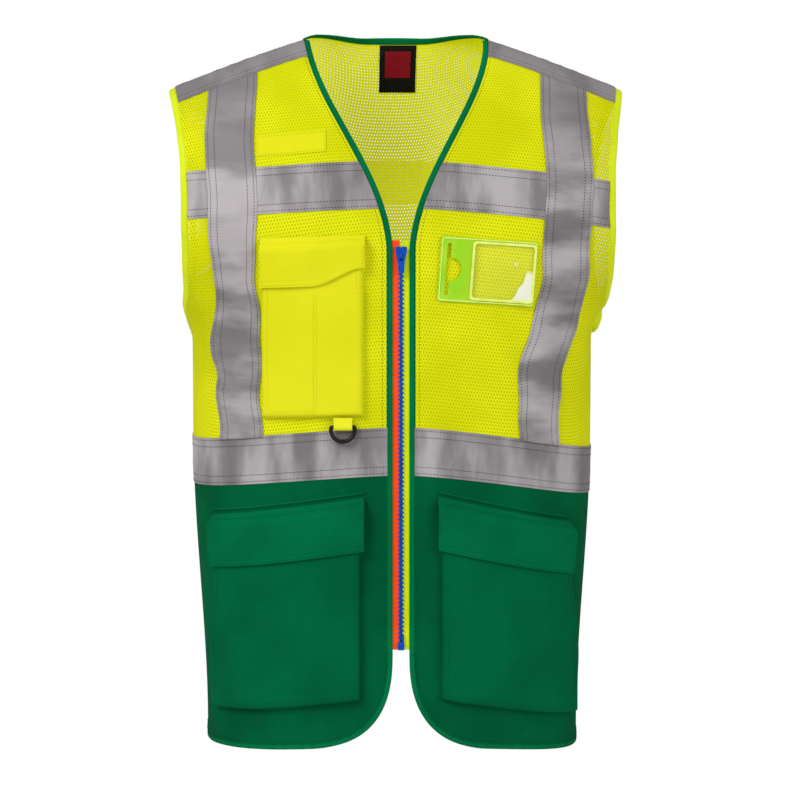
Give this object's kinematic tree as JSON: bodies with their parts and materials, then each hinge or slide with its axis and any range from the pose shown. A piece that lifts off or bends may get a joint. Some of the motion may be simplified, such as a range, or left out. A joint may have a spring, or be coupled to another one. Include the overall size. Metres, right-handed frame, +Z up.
{
  "type": "high visibility vest",
  "caption": "Sleeveless fluorescent mesh work vest with reflective tapes, a green lower part, a front zip, flapped pockets, a key ring and a clear badge holder.",
  "frame": {"origin": "midpoint between the two shoulders that carry the vest, level with the middle of the shoulder slope", "axes": "+Z up; the wearer faces -Y; +X towards the wearer's left arm"},
  "size_m": [0.4798, 0.2535, 0.758],
  "materials": {
    "mesh": "open knitted polyester mesh, fluorescent yellow, matt",
    "skirt": "fine woven green polyester, matt",
    "green_binding": "green bias binding tape, ribbed",
    "lime_binding": "fluorescent yellow bias binding tape",
    "reflective_tape": "silver grey retroreflective cloth tape with soft wrinkles",
    "orange_zip_tape": "fluorescent orange woven zip tape",
    "lime_zip_tape": "fluorescent yellow woven zip tape",
    "blue_zip": "blue moulded acetal",
    "yellow_cloth": "fluorescent yellow woven polyester twill",
    "green_cloth": "green woven polyester twill",
    "hook_and_loop": "hook and loop fastener, matt",
    "label_cloth": "black woven satin label, no lettering",
    "label_emblem": "dark red woven square, plain",
    "black_ring": "black moulded acetal",
    "yellow_webbing": "fluorescent yellow webbing",
    "badge_vinyl": "translucent lime vinyl with welded edges",
    "clear_film": "clear flexible vinyl film"
  },
  "bodies": {
    "vest_body": {"right_front_mesh_panel": "mesh", "left_front_mesh_panel": "mesh", "back_mesh_panel": "mesh", "right_front_skirt_panel": "skirt", "left_front_skirt_panel": "skirt", "back_skirt_panel": "skirt", "right_front_binding": "green_binding", "left_front_binding": "green_binding", "back_neck_binding": "green_binding", "right_armhole_binding": "lime_binding", "left_armhole_binding": "lime_binding", "right_chest_tape": "reflective_tape", "left_chest_tape": "reflective_tape", "back_chest_tape": "reflective_tape", "right_waist_tape": "reflective_tape", "left_waist_tape": "reflective_tape", "back_waist_tape": "reflective_tape", "right_shoulder_tape": "reflective_tape", "left_shoulder_tape": "reflective_tape", "right_front_brace_tape": "reflective_tape", "left_front_brace_tape": "reflective_tape", "right_back_brace_tape": "reflective_tape", "left_back_brace_tape": "reflective_tape", "right_zip_tape": "orange_zip_tape", "left_zip_tape": "lime_zip_tape", "right_zip_chain": "blue_zip", "left_zip_chain": "blue_zip", "right_zip_top_stop": "blue_zip", "left_zip_top_stop": "blue_zip", "zip_insertion_pin": "blue_zip", "zip_retainer_box": "blue_zip", "chest_pocket_pouch": "yellow_cloth", "chest_phone_patch": "yellow_cloth", "name_strip": "yellow_cloth", "right_pocket_pouch": "green_cloth", "right_pocket_welt": "green_cloth", "left_pocket_pouch": "green_cloth", "left_pocket_welt": "green_cloth", "chest_pocket_loop_patch": "hook_and_loop", "right_pocket_loop_patch": "hook_and_loop", "left_pocket_loop_patch": "hook_and_loop", "neck_label": "label_cloth", "neck_label_emblem": "label_emblem", "d_ring_webbing": "yellow_webbing", "badge_holder_frame": "badge_vinyl", "badge_holder_window": "clear_film"},
    "zip_slider": {"zip_slider_body": "blue_zip"},
    "zip_pull": {"zip_pull_tab": "blue_zip"},
    "chest_flap": {"chest_pocket_flap": "yellow_cloth", "chest_pocket_hook_patch": "hook_and_loop"},
    "right_flap": {"right_pocket_flap": "green_cloth", "right_pocket_hook_patch": "hook_and_loop"},
    "left_flap": {"left_pocket_flap": "green_cloth", "left_pocket_hook_patch": "hook_and_loop"},
    "ring": {"d_ring": "black_ring"}
  },
  "joints": [
    {"name": "zip_slide", "type": "slide", "parent": "vest_body", "child": "zip_slider", "axis": [0, 0, -1], "range_m": [0, 0.37]},
    {"name": "pull_swing", "type": "hinge", "parent": "zip_slider", "child": "zip_pull", "pos_m": [0, -0.123, -0.1979], "axis": [-1, 0, 0], "range_deg": [0, 160]},
    {"name": "ring_swing", "type": "hinge", "parent": "vest_body", "child": "ring", "pos_m": [-0.06, -0.124, -0.373], "axis": [-1, 0, 0], "range_deg": [-4, 140]},
    {"name": "chest_flap_open", "type": "hinge", "parent": "vest_body", "child": "chest_flap", "pos_m": [-0.0901, -0.1183, -0.176], "axis": [-0.9975, 0.0705, -0.0008], "range_deg": [0, 130]},
    {"name": "right_flap_open", "type": "hinge", "parent": "vest_body", "child": "right_flap", "pos_m": [-0.12, -0.11, -0.4586], "axis": [-0.9321, 0.3346, -0.1388], "range_deg": [0, 60]},
    {"name": "left_flap_open", "type": "hinge", "parent": "vest_body", "child": "left_flap", "pos_m": [0.1159, -0.1098, -0.4642], "axis": [-0.9123, -0.35, 0.2126], "range_deg": [0, 60]}
  ]
}
